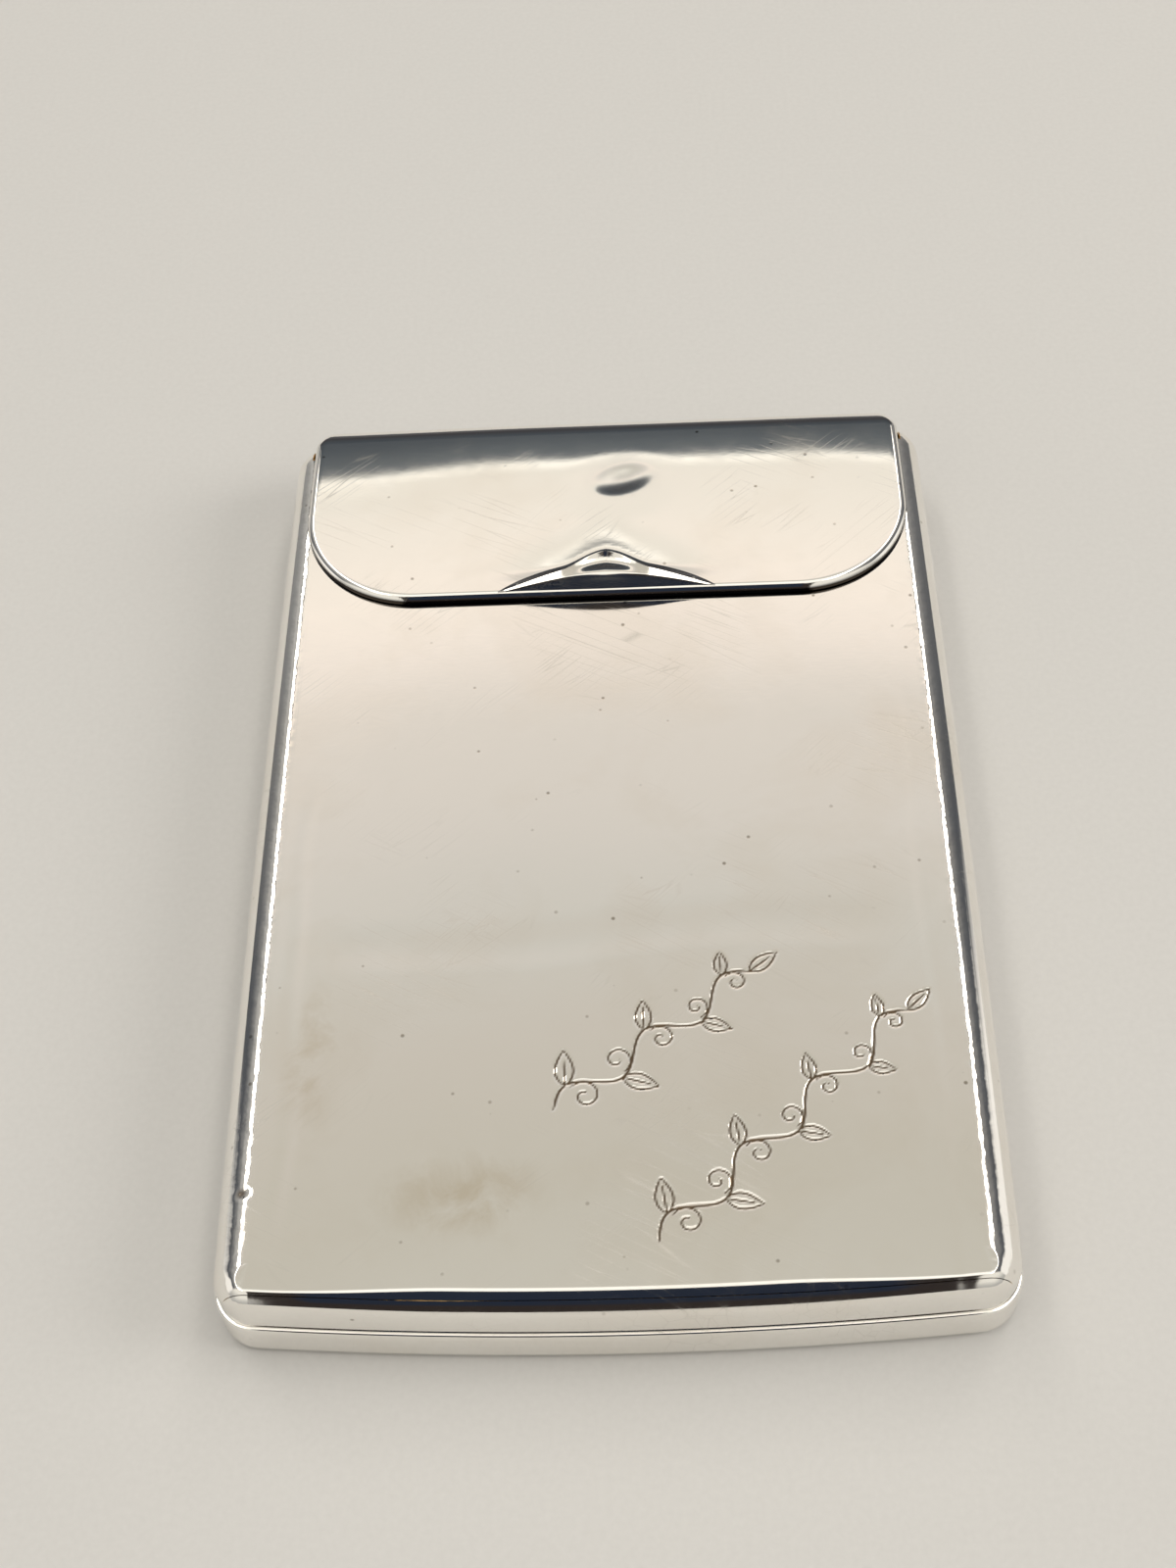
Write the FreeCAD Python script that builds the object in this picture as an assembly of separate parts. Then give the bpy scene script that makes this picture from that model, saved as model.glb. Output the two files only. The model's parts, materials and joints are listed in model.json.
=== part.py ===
"""Flap-top card case in polished silver sheet, lying on its back.

Millimetres. +X is across the case, +Y runs towards the hinged lid, +Z is up, out of the front.
The origin is on the resting face, at the middle of the length and the width.
"""

import os

import FreeCAD
import Part
from math import cos, pi, sqrt

# --- Driving dimensions ---------------------------------------------------------------------
WIDTH = 62.0
LENGTH = 94.2
BODY_THICKNESS = 8.8
SHEET = 0.5
HALF_WIDTH = WIDTH / 2
HALF_LENGTH = LENGTH / 2

# The body: a front shell and a foot wall soldered to a tray-shaped back shell.
SEAM_HEIGHT = 4.2
FOOT_SEAM_DEPTH = 1.1
RIM_PROUD = 0.25
SIDE_BOW = 0.25
FOOT_BOW = 1.1
CORNER_RADIUS = 3.4
FRONT_ROLL = 2.9
BACK_ROLL = 1.0
BODY_END = HALF_LENGTH - 1.8

# The mouth, between two closed corner towers, with a U-shaped bezel inside it.
MOUTH_HALF_WIDTH = 28.7
FRONT_PLATE_END = 42.1
BEZEL_START = 37.0
BEZEL_END = 44.2
BEZEL_CORNER = 1.2
PIP_RADIUS = 0.75
PIP_X = 20.0
PIP_Y = 43.35

# The lid: a flap over the front, a rolled end and an end wall that carries the hinge.
LID_HALF_WIDTH = 28.4
LID_TOP = BODY_THICKNESS + 0.9
FLAP_GAP = 0.15
FLAP_EDGE = 22.5
FLAP_CORNER = 10.8
LID_CORNER = 2.2
LID_ROLL = 3.6
LID_EDGE_ROUND = 0.7
LID_LOW = 2.1
LID_WALL_START = 45.05

# The hinge: chenier knuckles on one pin, each group soldered to its own bearer strip.
HINGE_Y = 45.9
HINGE_Z = 1.0
KNUCKLE_RADIUS = 0.95
KNUCKLE_COUNT = 7
KNUCKLE_GAP = 0.08
HINGE_HALF_LENGTH = 28.5
PIN_RADIUS = 0.4
RUNNING_CLEARANCE = 0.05
BEARER_RADIUS = KNUCKLE_RADIUS + 0.1
BODY_STRIP_START = 43.2
BODY_STRIP_END = 44.8
BODY_STRIP_TOP = 1.9
LID_STRIP_TOP = 3.3

# The thumb piece: a lip along the flap's edge that widens into a small almond in the middle.
THUMB_HALF_WIDTH = 10.0
THUMB_OVERHANG = 0.3
THUMB_LOW = LID_TOP - 0.45
THUMB_FRONT_HEIGHT = 1.2
THUMB_REAR_EXTRA = 0.7
THUMB_LIP_DEPTH = 0.75
THUMB_ALMOND_DEPTH = 1.85
THUMB_FILLET_REACH = 3.2
THUMB_SECTIONS = 13
THUMB_TIP = 0.06

TONGUE_START = BODY_END - 1.8
BACK_PLATE_END = HINGE_Y - BEARER_RADIUS
TOLERANCE = 1e-6
MARGIN = 5.0


def vector(x, y, z=0.0):
    return FreeCAD.Vector(x, y, z)


def box(low, high):
    """The box between two opposite corners."""
    return Part.makeBox(high[0] - low[0], high[1] - low[1], high[2] - low[2], vector(*low))


def line(start, end):
    return Part.LineSegment(vector(*start), vector(*end)).toShape()


def arc(start, middle, end):
    return Part.Arc(vector(*start), vector(*middle), vector(*end)).toShape()


def upright_edges(shape):
    """The straight edges that run along Z."""
    return [e for e in shape.Edges
            if len(e.Vertexes) == 2
            and abs(e.Vertexes[0].X - e.Vertexes[1].X) < TOLERANCE
            and abs(e.Vertexes[0].Y - e.Vertexes[1].Y) < TOLERANCE]


def edges_at(shape, height):
    """The edges that lie in the level plane at this height."""
    return [e for e in shape.Edges if all(abs(v.Z - height) < TOLERANCE for v in e.Vertexes)]


def prism(edges, low, high):
    """A closed outline drawn at height 0, extruded from low to high."""
    face = Part.Face(Part.Wire(Part.__sortEdges__(edges)))
    face.translate(vector(0, 0, low))
    return face.extrude(vector(0, 0, high - low))


def along_hinge(radius, start=-HINGE_HALF_LENGTH, end=HINGE_HALF_LENGTH):
    """A cylinder on the hinge's axis."""
    return Part.makeCylinder(radius, end - start, vector(start, HINGE_Y, HINGE_Z), vector(1, 0, 0))


# --- Body -----------------------------------------------------------------------------------
def case_block(inset, low, high, top_roll=0.0, bottom_roll=0.0):
    """The case's outline, moved in by inset, as a solid with rolled edges."""
    half = HALF_WIDTH - inset
    corner_x = half - SIDE_BOW
    foot = -HALF_LENGTH + inset
    foot_corner = foot + FOOT_BOW
    end = BODY_END - inset
    outline = [
        arc((-corner_x, foot_corner), (0, foot), (corner_x, foot_corner)),
        arc((corner_x, foot_corner), (half, 0), (corner_x, end)),
        line((corner_x, end), (-corner_x, end)),
        arc((-corner_x, end), (-half, 0), (-corner_x, foot_corner)),
    ]
    block = prism(outline, low, high)
    block = block.makeFillet(CORNER_RADIUS - inset, upright_edges(block))
    if top_roll:
        block = block.makeFillet(top_roll, edges_at(block, high))
    if bottom_roll:
        block = block.makeFillet(bottom_roll, edges_at(block, low))
    return block


def tower_cheeks():
    """The two walls that close the corner towers on the side that faces the mouth."""
    return [box((min(a, b), FRONT_PLATE_END - SHEET, 0), (max(a, b), HALF_LENGTH, BODY_THICKNESS))
            for a, b in ((s * MOUTH_HALF_WIDTH, s * (MOUTH_HALF_WIDTH + SHEET)) for s in (-1, 1))]


def mouth_gap(start):
    """The full-height gap between the towers, from start to past the end."""
    return box((-MOUTH_HALF_WIDTH, start, -MARGIN),
               (MOUTH_HALF_WIDTH, HALF_LENGTH + MARGIN, BODY_THICKNESS + MARGIN))


def front_half():
    """The hollow front half of the body, before its foot is parted off."""
    outer = case_block(RIM_PROUD, SEAM_HEIGHT, BODY_THICKNESS, top_roll=FRONT_ROLL)
    cavity = case_block(RIM_PROUD + SHEET, SEAM_HEIGHT - SHEET, BODY_THICKNESS - SHEET,
                        top_roll=FRONT_ROLL - SHEET)
    for cheek in tower_cheeks():
        cavity = cavity.cut(cheek)
    return outer.cut(cavity).cut(mouth_gap(FRONT_PLATE_END))


def foot_room():
    """All the space beyond the seam across the foot, which bows as the foot does."""
    reach = HALF_WIDTH + MARGIN
    middle = -HALF_LENGTH + FOOT_SEAM_DEPTH
    side = middle + FOOT_BOW * (reach / (HALF_WIDTH - SIDE_BOW)) ** 2
    outline = [
        arc((-reach, side), (0, middle), (reach, side)),
        line((reach, side), (reach, -LENGTH)),
        line((reach, -LENGTH), (-reach, -LENGTH)),
        line((-reach, -LENGTH), (-reach, side)),
    ]
    return prism(outline, -MARGIN, BODY_THICKNESS + MARGIN)


def make_front_shell():
    return front_half().cut(foot_room())


def make_foot_wall():
    return front_half().common(foot_room())


def make_back_shell():
    """The back, with a flat tongue between the towers that reaches the hinge."""
    outer = case_block(0, 0, SEAM_HEIGHT, bottom_roll=BACK_ROLL)
    cavity = case_block(SHEET, SHEET, SEAM_HEIGHT + SHEET, bottom_roll=BACK_ROLL - SHEET)
    for cheek in tower_cheeks():
        cavity = cavity.cut(cheek)
    tongue = box((-MOUTH_HALF_WIDTH, TONGUE_START, 0), (MOUTH_HALF_WIDTH, BACK_PLATE_END, SHEET))
    return outer.cut(cavity).cut(mouth_gap(TONGUE_START)).fuse(tongue).removeSplitter()


def make_mouth_bezel():
    """A U-shaped strip: one long wall under the front plate and one short wall at each side."""
    top = BODY_THICKNESS - SHEET
    outer = box((-MOUTH_HALF_WIDTH, BEZEL_START, SHEET), (MOUTH_HALF_WIDTH, BEZEL_END, top))
    long_edges = [e for e in edges_at(outer, top) if abs(e.Vertexes[0].X - e.Vertexes[1].X) < TOLERANCE]
    outer = outer.makeFillet(BEZEL_CORNER, long_edges)
    inner_half = MOUTH_HALF_WIDTH - SHEET
    inner = box((-inner_half, BEZEL_START - MARGIN, -MARGIN), (inner_half, BEZEL_END + MARGIN, top - SHEET))
    long_edges = [e for e in edges_at(inner, top - SHEET)
                  if abs(e.Vertexes[0].X - e.Vertexes[1].X) < TOLERANCE]
    inner = inner.makeFillet(BEZEL_CORNER - SHEET, long_edges)
    return outer.cut(inner)


def make_catch_pip(side):
    """A dome on the bezel that the lid springs over."""
    base = BODY_THICKNESS - SHEET
    dome = Part.makeSphere(PIP_RADIUS, vector(side * PIP_X, PIP_Y, base - PIP_RADIUS / 5))
    return dome.common(box((side * PIP_X - MARGIN, PIP_Y - MARGIN, base),
                           (side * PIP_X + MARGIN, PIP_Y + MARGIN, base + MARGIN)))


def make_body_hinge_strip():
    half = MOUTH_HALF_WIDTH - SHEET
    strip = box((-half, BODY_STRIP_START, SHEET), (half, BODY_STRIP_END + SHEET, BODY_STRIP_TOP))
    return strip.cut(along_hinge(BEARER_RADIUS, -MARGIN - half, MARGIN + half))


# --- Hinge ----------------------------------------------------------------------------------
def knuckle_span(number):
    """Where the numbered knuckle starts and ends along the pin, counting from 1."""
    length = (2 * HINGE_HALF_LENGTH - (KNUCKLE_COUNT - 1) * KNUCKLE_GAP) / KNUCKLE_COUNT
    start = -HINGE_HALF_LENGTH + (number - 1) * (length + KNUCKLE_GAP)
    return start, start + length


def make_knuckle(number, saddle_room, bore_radius):
    """A length of tube with a saddle of solder that reaches its bearer strip."""
    start, end = knuckle_span(number)
    low, high = saddle_room
    saddle = along_hinge(BEARER_RADIUS, start, end)
    saddle = saddle.common(box((start, low[0], low[1]), (end, high[0], high[1])))
    tube = along_hinge(KNUCKLE_RADIUS, start, end).fuse(saddle)
    bore = along_hinge(bore_radius, start - MARGIN, end + MARGIN)
    return tube.removeSplitter().cut(bore)


def make_body_knuckle(number):
    saddle_room = ((HINGE_Y - BEARER_RADIUS, SHEET), (HINGE_Y, BODY_STRIP_TOP - SHEET))
    return make_knuckle(number, saddle_room, PIN_RADIUS)


def make_lid_knuckle(number):
    half = 0.6 * KNUCKLE_RADIUS
    saddle_room = ((HINGE_Y - half, HINGE_Z), (HINGE_Y + half, HINGE_Z + BEARER_RADIUS))
    return make_knuckle(number, saddle_room, PIN_RADIUS + RUNNING_CLEARANCE)


def make_hinge_pin():
    return along_hinge(PIN_RADIUS)


# --- Lid ------------------------------------------------------------------------------------
def lid_block(inset, low):
    """The lid's outside, moved in by inset, from low up to its top."""
    half = LID_HALF_WIDTH - inset
    edge = FLAP_EDGE + inset
    end = HALF_LENGTH - inset
    top = LID_TOP - inset
    flap_corner = FLAP_CORNER - inset
    end_corner = LID_CORNER - inset
    roll = LID_ROLL - inset
    flap_bulge = flap_corner * (1 - sqrt(0.5))
    end_bulge = end_corner * (1 - sqrt(0.5))
    outline = []
    for side in (-1, 1):
        x = side * half
        outline.append(line((x, edge + flap_corner), (x, end - end_corner)))
        outline.append(arc((x, edge + flap_corner),
                           (side * (half - flap_bulge), edge + flap_bulge),
                           (side * (half - flap_corner), edge)))
        outline.append(arc((x, end - end_corner),
                           (side * (half - end_bulge), end - end_bulge),
                           (side * (half - end_corner), end)))
    outline.append(line((-half + flap_corner, edge), (half - flap_corner, edge)))
    outline.append(line((-half + end_corner, end), (half - end_corner, end)))
    block = prism(outline, low, top)
    block = block.makeFillet(LID_EDGE_ROUND - inset, edges_at(block, top))
    roll_bulge = roll * (1 - sqrt(0.5))
    start = edge - MARGIN
    profile = [
        line((-half, start, low), (-half, end, low)),
        line((-half, end, low), (-half, end, top - roll)),
        arc((-half, end, top - roll), (-half, end - roll_bulge, top - roll_bulge), (-half, end - roll, top)),
        line((-half, end - roll, top), (-half, start, top)),
        line((-half, start, top), (-half, start, low)),
    ]
    rolled = Part.Face(Part.Wire(Part.__sortEdges__(profile))).extrude(vector(2 * half, 0, 0))
    return block.common(rolled)


def make_lid_shell():
    shell = lid_block(0, LID_LOW).cut(lid_block(SHEET, LID_LOW - MARGIN))
    below_flap = box((-WIDTH, FLAP_EDGE - MARGIN, -MARGIN),
                     (WIDTH, LID_WALL_START, BODY_THICKNESS + FLAP_GAP))
    return shell.cut(below_flap)


def make_lid_hinge_strip():
    room = box((-LID_HALF_WIDTH, LID_WALL_START + FLAP_GAP, LID_LOW - FLAP_GAP),
               (LID_HALF_WIDTH, HALF_LENGTH, LID_STRIP_TOP))
    strip = room.common(lid_block(SHEET, LID_LOW - MARGIN))
    return strip.cut(along_hinge(BEARER_RADIUS, -WIDTH, WIDTH))


def thumb_section(x):
    """The thumb piece cut across at x: a front face, a top, and a hollow fillet behind it."""
    share = abs(x) / THUMB_HALF_WIDTH
    swell = 0.5 + 0.5 * cos(pi * share)
    front = FLAP_EDGE - THUMB_OVERHANG * (1 - share ** 4)
    lip_height = THUMB_FRONT_HEIGHT * (1 - share ** 2.6) + THUMB_TIP
    rear_height = lip_height + THUMB_REAR_EXTRA * swell
    rear = FLAP_EDGE + THUMB_LIP_DEPTH * (1 - share ** 4) + THUMB_ALMOND_DEPTH * swell ** 1.6 + THUMB_TIP
    reach = THUMB_FILLET_REACH * rear_height / (THUMB_FRONT_HEIGHT + THUMB_REAR_EXTRA)
    foot = rear + reach
    points = [
        (x, front, THUMB_LOW),
        (x, front, LID_TOP + lip_height),
        (x, rear, LID_TOP + rear_height),
        (x, rear + 0.3 * reach, LID_TOP + 0.3 * rear_height),
        (x, foot, LID_TOP),
        (x, foot, THUMB_LOW),
    ]
    edges = [
        line(points[0], points[1]),
        line(points[1], points[2]),
        arc(points[2], points[3], points[4]),
        line(points[4], points[5]),
        line(points[5], points[0]),
    ]
    return Part.Wire(edges)


def make_thumb_piece():
    last = THUMB_SECTIONS - 1
    stations = [THUMB_HALF_WIDTH * (2 * i / last - 1) for i in range(THUMB_SECTIONS)]
    piece = Part.makeLoft([thumb_section(x) for x in stations], True, True)
    return piece.cut(lid_block(0, LID_LOW))


# --- All pieces -----------------------------------------------------------------------------
def make_pieces():
    """Every separate piece by its name."""
    pieces = {
        "back_shell": make_back_shell(),
        "front_shell": make_front_shell(),
        "foot_wall": make_foot_wall(),
        "mouth_bezel": make_mouth_bezel(),
        "catch_pip_left": make_catch_pip(-1),
        "catch_pip_right": make_catch_pip(1),
        "body_hinge_strip": make_body_hinge_strip(),
        "hinge_pin": make_hinge_pin(),
        "lid_shell": make_lid_shell(),
        "lid_hinge_strip": make_lid_hinge_strip(),
        "thumb_piece": make_thumb_piece(),
    }
    for number in range(1, KNUCKLE_COUNT + 1):
        if number % 2:
            pieces[f"body_knuckle_{number // 2 + 1}"] = make_body_knuckle(number)
        else:
            pieces[f"lid_knuckle_{number // 2}"] = make_lid_knuckle(number)
    return pieces


def main():
    os.makedirs("parts", exist_ok=True)
    for name, shape in make_pieces().items():
        solids = shape.Solids
        if len(solids) != 1 or not solids[0].isValid():
            raise ValueError(f"{name} is not one valid solid: {len(solids)} solids")
        solids[0].exportStep(os.path.join("parts", name + ".step"))
        print(f"{name}: {solids[0].Volume:.1f} mm3")


main()
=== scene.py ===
import json
import math

import bmesh
import bpy
import numpy as np
from mathutils import Matrix, Vector, kdtree


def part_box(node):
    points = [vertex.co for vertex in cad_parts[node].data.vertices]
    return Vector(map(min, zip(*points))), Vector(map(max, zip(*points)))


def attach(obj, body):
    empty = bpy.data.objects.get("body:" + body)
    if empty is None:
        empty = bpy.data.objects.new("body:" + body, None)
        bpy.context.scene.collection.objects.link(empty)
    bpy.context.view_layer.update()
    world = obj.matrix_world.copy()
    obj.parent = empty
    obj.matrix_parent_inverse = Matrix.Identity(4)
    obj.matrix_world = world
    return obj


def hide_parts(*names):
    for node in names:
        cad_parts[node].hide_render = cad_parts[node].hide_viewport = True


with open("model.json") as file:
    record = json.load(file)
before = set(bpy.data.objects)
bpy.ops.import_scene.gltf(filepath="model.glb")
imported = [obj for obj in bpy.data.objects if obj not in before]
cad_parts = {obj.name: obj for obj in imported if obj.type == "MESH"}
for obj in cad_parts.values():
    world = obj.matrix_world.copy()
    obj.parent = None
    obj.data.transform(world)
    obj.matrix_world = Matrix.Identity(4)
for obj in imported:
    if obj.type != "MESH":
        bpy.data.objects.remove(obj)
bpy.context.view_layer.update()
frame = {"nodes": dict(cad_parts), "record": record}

# Polished silver card case: the four silver shells and the thumb piece are rebuilt here as fine
# meshes round the CAD frame, and the hinge and the bezel keep their CAD meshes.
# Lengths in this script are millimetres; a mesh is scaled to metres when it's made.
MM = 0.001


def box_mm(node_name):
    """A CAD node's lowest and highest corners, in millimetres."""
    low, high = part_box(node_name)
    return np.array(low) / MM, np.array(high) / MM


BACK_LOW, BACK_HIGH = box_mm("back_shell")
LID_LOW, LID_HIGH = box_mm("lid_shell")
FRONT_HIGH = box_mm("front_shell")[1]
BEZEL_HIGH = box_mm("mouth_bezel")[1]
THUMB_HIGH = box_mm("thumb_piece")[1]

# --- Sizes taken from the frame ---------------------------------------------------------------
HALF_WIDTH = float(BACK_HIGH[0])
FOOT_Y = float(BACK_LOW[1])
BODY_TOP = float(FRONT_HIGH[2])
SEAM_Z = float(BACK_HIGH[2])
LID_HALF = float(LID_HIGH[0])
LID_TOP = float(LID_HIGH[2])
LID_WALL_Z = float(LID_LOW[2])
LID_END = float(LID_HIGH[1])
FLAP_Y = float(LID_LOW[1])
MOUTH_HALF = float(BEZEL_HIGH[0])
THUMB_HALF = float(THUMB_HIGH[0])

# --- Sizes of the sheet work ------------------------------------------------------------------
SHEET = 0.5
SIDE_BOW = 0.25
FOOT_BOW = 1.1
FOOT_SEAM_DEPTH = 1.1
CORNER = 3.4
FRONT_ROLL = 2.9
BACK_ROLL = 1.0
RIM_PROUD = 0.25
RIM_ROUND = 0.14
BODY_END = -FOOT_Y - 1.8
FRONT_PLATE_END = 42.1
TONGUE_START = 43.5
BACK_PLATE_END = 44.85
SEAM_GAP = 0.05
FLAP_GAP = 0.15
FLAP_CORNER = 10.8
LID_ROLL = 3.6
LID_EDGE = 0.7
LID_END_EDGE = 2.6
LID_WALL_START = 45.05

# How much squarer the front's roll is along the foot, how much more at the foot's two ends, and
# how far its curve there departs from a circle.
FOOT_SQUARE = 0.48
FOOT_SQUARE_ENDS = 0.20
FOOT_SHARPEN = 0.6
# A ring of points this far inside each fold keeps the shading of the flat beside it flat.
FOLD_RING = 0.2

# --- Marks of use, placed as (x, y) on the case ---------------------------------------------------
DING = (-28.35, -36.8)
DING_DIRT = (-28.5, -36.8)
DENT = (1.7, 37.0)
# The cosine and sine of the dent's slant.
DENT_SLANT = (0.94, 0.34)
# Brown smudges: strength, centre, and half sizes along x and y.
SMUDGES = ((0.55, (-11.5, -37.5), (9, 4.8)), (0.45, (-24, -25), (3.5, 12)))
# The side lines are ragged on a band at this distance in from the side, out to this reach.
WEAR_INSET = 2.45
WEAR_REACH = 0.9

SEED = 7


def foot_bow(x):
    """How far the curve of the foot has come in at x, from its furthest point in the middle."""
    return FOOT_BOW * (x / (HALF_WIDTH - SIDE_BOW)) ** 2


# --- Mesh helpers -----------------------------------------------------------------------------
def add_object(name, data):
    made = bpy.data.objects.new(name, data)
    bpy.context.scene.collection.objects.link(made)
    return made


def new_piece(name, vertices, faces):
    """A mesh object from vertices in millimetres, with its normals facing out."""
    mesh = bpy.data.meshes.new(name)
    mesh.from_pydata((np.asarray(vertices, float) * MM).tolist(), [], faces)
    work = bmesh.new()
    work.from_mesh(mesh)
    bmesh.ops.recalc_face_normals(work, faces=work.faces)
    work.to_mesh(mesh)
    work.free()
    return add_object(name, mesh)


def smooth(piece, degrees=35.0):
    """Smooth shading, with edges over this angle left sharp."""
    piece.data.shade_smooth()
    piece.data.set_sharp_from_angle(angle=math.radians(degrees))


def coordinates(piece):
    """A piece's vertices in millimetres."""
    points = np.empty(len(piece.data.vertices) * 3)
    piece.data.vertices.foreach_get("co", points)
    return points.reshape(-1, 3) / MM


def set_coordinates(piece, points):
    piece.data.vertices.foreach_set("co", (points * MM).ravel())
    piece.data.update()


def block(name, low, high):
    """A plain box used only to cut with."""
    corners = [(x, y, z) for x in (low[0], high[0]) for y in (low[1], high[1])
               for z in (low[2], high[2])]
    faces = [(0, 1, 3, 2), (4, 6, 7, 5), (0, 4, 5, 1), (2, 3, 7, 6), (0, 2, 6, 4), (1, 5, 7, 3)]
    return new_piece(name, corners, faces)


def combine(piece, tool, operation):
    """Applies a boolean and removes the tool."""
    modifier = piece.modifiers.new("cut", "BOOLEAN")
    modifier.operation = operation
    modifier.solver = "EXACT"
    modifier.object = tool
    graph = bpy.context.evaluated_depsgraph_get()
    result = bpy.data.meshes.new_from_object(piece.evaluated_get(graph))
    piece.modifiers.clear()
    piece.data = result
    bpy.data.objects.remove(tool)


def keep_side(piece, y, above):
    """Cuts a closed piece across along the foot's bow, keeps one side and closes the cut."""
    points = coordinates(piece)
    points[:, 1] -= foot_bow(points[:, 0])
    set_coordinates(piece, points)
    work = bmesh.new()
    work.from_mesh(piece.data)
    everything = work.verts[:] + work.edges[:] + work.faces[:]
    cut = bmesh.ops.bisect_plane(work, geom=everything, plane_co=(0, y * MM, 0), plane_no=(0, 1, 0),
                                 clear_inner=above, clear_outer=not above)
    edges = [e for e in cut["geom_cut"] if isinstance(e, bmesh.types.BMEdge)]
    bmesh.ops.holes_fill(work, edges=edges)
    work.to_mesh(piece.data)
    work.free()
    points = coordinates(piece)
    points[:, 1] += foot_bow(points[:, 0])
    set_coordinates(piece, points)


def write_attribute(piece, name, values):
    """Stores one number for each vertex, for the material to read."""
    attribute = piece.data.attributes.new(name, "FLOAT", "POINT")
    attribute.data.foreach_set("value", np.asarray(values, np.float32))


def duplicate(piece, name):
    return add_object(name, piece.data.copy())


# --- The rounded case: a grid for the flat, and a band rolled down round its edge -------------
def half_width_at(y):
    """Half the width of the flat grid, which ends where the corners' centres are."""
    return HALF_WIDTH - CORNER - SIDE_BOW * (y / BODY_END) ** 2


def foot_at(x):
    """The y of the flat grid's foot end, which bows out in the middle."""
    return FOOT_Y + CORNER + FOOT_BOW * (x / (HALF_WIDTH - CORNER)) ** 2


def case_grid(columns, rows):
    """Points of the flat, for shares of the width from -1 to 1 and of the length from 0 to 1."""
    top = BODY_END - CORNER
    x_plain = np.asarray(columns)[None, :] * (HALF_WIDTH - CORNER)
    foot = foot_at(x_plain)
    y = foot + (top - foot) * np.asarray(rows)[:, None]
    x = np.asarray(columns)[None, :] * half_width_at(y)
    return x, y


def case_edge(x, y, corner_steps):
    """Samples round the grid's edge: (row, column, outward x, outward y), corners fanned out."""
    last_row, last_column = x.shape[0] - 1, x.shape[1] - 1
    sides = [
        [(0, c) for c in range(last_column + 1)],
        [(r, last_column) for r in range(last_row + 1)],
        [(last_row, c) for c in range(last_column, -1, -1)],
        [(r, 0) for r in range(last_row, -1, -1)],
    ]
    runs = []
    for side in sides:
        points = np.array([(x[r, c], y[r, c]) for r, c in side])
        slopes = np.gradient(points, axis=0)
        slopes /= np.linalg.norm(slopes, axis=1)[:, None]
        runs.append([(r, c, dy, -dx) for (r, c), (dx, dy) in zip(side, slopes)])
    samples = []
    for i, run in enumerate(runs):
        samples += run
        before, after = run[-1], runs[(i + 1) % len(runs)][0]
        start = math.atan2(before[3], before[2])
        turn = (math.atan2(after[3], after[2]) - start) % (2 * math.pi)
        for step in range(1, corner_steps):
            angle = start + turn * step / corner_steps
            samples.append((before[0], before[1], math.cos(angle), math.sin(angle)))
    return samples


def foot_shoulder(inset, z, x, facing):
    """The front's roll is squarer along the foot, and squarest at the foot's two ends.
    facing is the y of the edge's outward direction, which is -1 along the foot."""
    start = BODY_TOP - FRONT_ROLL
    if z < start:
        return inset, z
    share = max(0.0, -facing) ** 2
    corner = 1 - share * (FOOT_SQUARE + FOOT_SQUARE_ENDS * float(ease(abs(x), 12, 26)))
    power = 2 / (2 - FOOT_SHARPEN * share)
    turned = 1 - (inset - RIM_PROUD) / FRONT_ROLL
    out = 1 - corner + min(0.0, turned) + corner * max(0.0, turned) ** power
    up = 1 - corner + corner * max(0.0, (z - start) / FRONT_ROLL) ** power
    return RIM_PROUD + FRONT_ROLL * (1 - out), start + FRONT_ROLL * up


def as_given(inset, z, x, facing):
    """The plain roll, the same all round."""
    return inset, z


def pillow(name, columns, rows, profile, corner_steps=14, shaped=as_given):
    """A closed solid: the flat grid, a band of (inset, height) rings round it, and a flat cap."""
    x, y = case_grid(columns, rows)
    height = profile[0][1]
    vertices = np.stack([x, y, np.full_like(x, height)], axis=-1).reshape(-1, 3).tolist()
    wide = x.shape[1]
    faces = [(r * wide + c, r * wide + c + 1, (r + 1) * wide + c + 1, (r + 1) * wide + c)
             for r in range(x.shape[0] - 1) for c in range(wide - 1)]
    samples = case_edge(x, y, corner_steps)
    ring = [r * wide + c for r, c, _, _ in samples]
    for inset, z in profile[1:]:
        start = len(vertices)
        for r, c, nx, ny in samples:
            here, level = shaped(inset, z, x[r, c], ny)
            vertices.append((x[r, c] + (CORNER - here) * nx, y[r, c] + (CORNER - here) * ny, level))
        following = list(range(start, len(vertices)))
        for i, j in zip(range(len(ring)), list(range(1, len(ring))) + [0]):
            face = [ring[i], following[i], following[j], ring[j]]
            faces.append(face if ring[i] != ring[j] else face[:3])
        ring = following
    faces.append(ring)
    return new_piece(name, vertices, faces)


def rolled_profile(inset, flat_z, radius, end_z, steps):
    """Rings from the flat, round a quarter roll and along the wall to end_z."""
    way = 1.0 if end_z > flat_z else -1.0
    rings = [(CORNER, flat_z), (inset + radius + FOLD_RING, flat_z)]
    for step in range(steps + 1):
        angle = 0.5 * math.pi * step / steps
        across = inset + radius * (1 - math.sin(angle))
        rings.append((across, flat_z + way * radius * (1 - math.cos(angle))))
    wall_start = flat_z + way * radius
    rings += [(inset, wall_start + (end_z - wall_start) * share) for share in (0.3, 0.65, 1.0)]
    return rings


def even(low, high, step):
    """Evenly spaced values from low to high, about step apart."""
    return np.linspace(low, high, max(2, int(round((high - low) / step)) + 1))


def graded(low, high, fine_low, fine_high, coarse, fine):
    """Values from low to high, fine between two of them and coarse elsewhere."""
    middle = even(fine_low, fine_high, fine)[1:]
    return np.concatenate([even(low, fine_low, coarse), middle, even(fine_high, high, coarse)[1:]])


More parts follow.
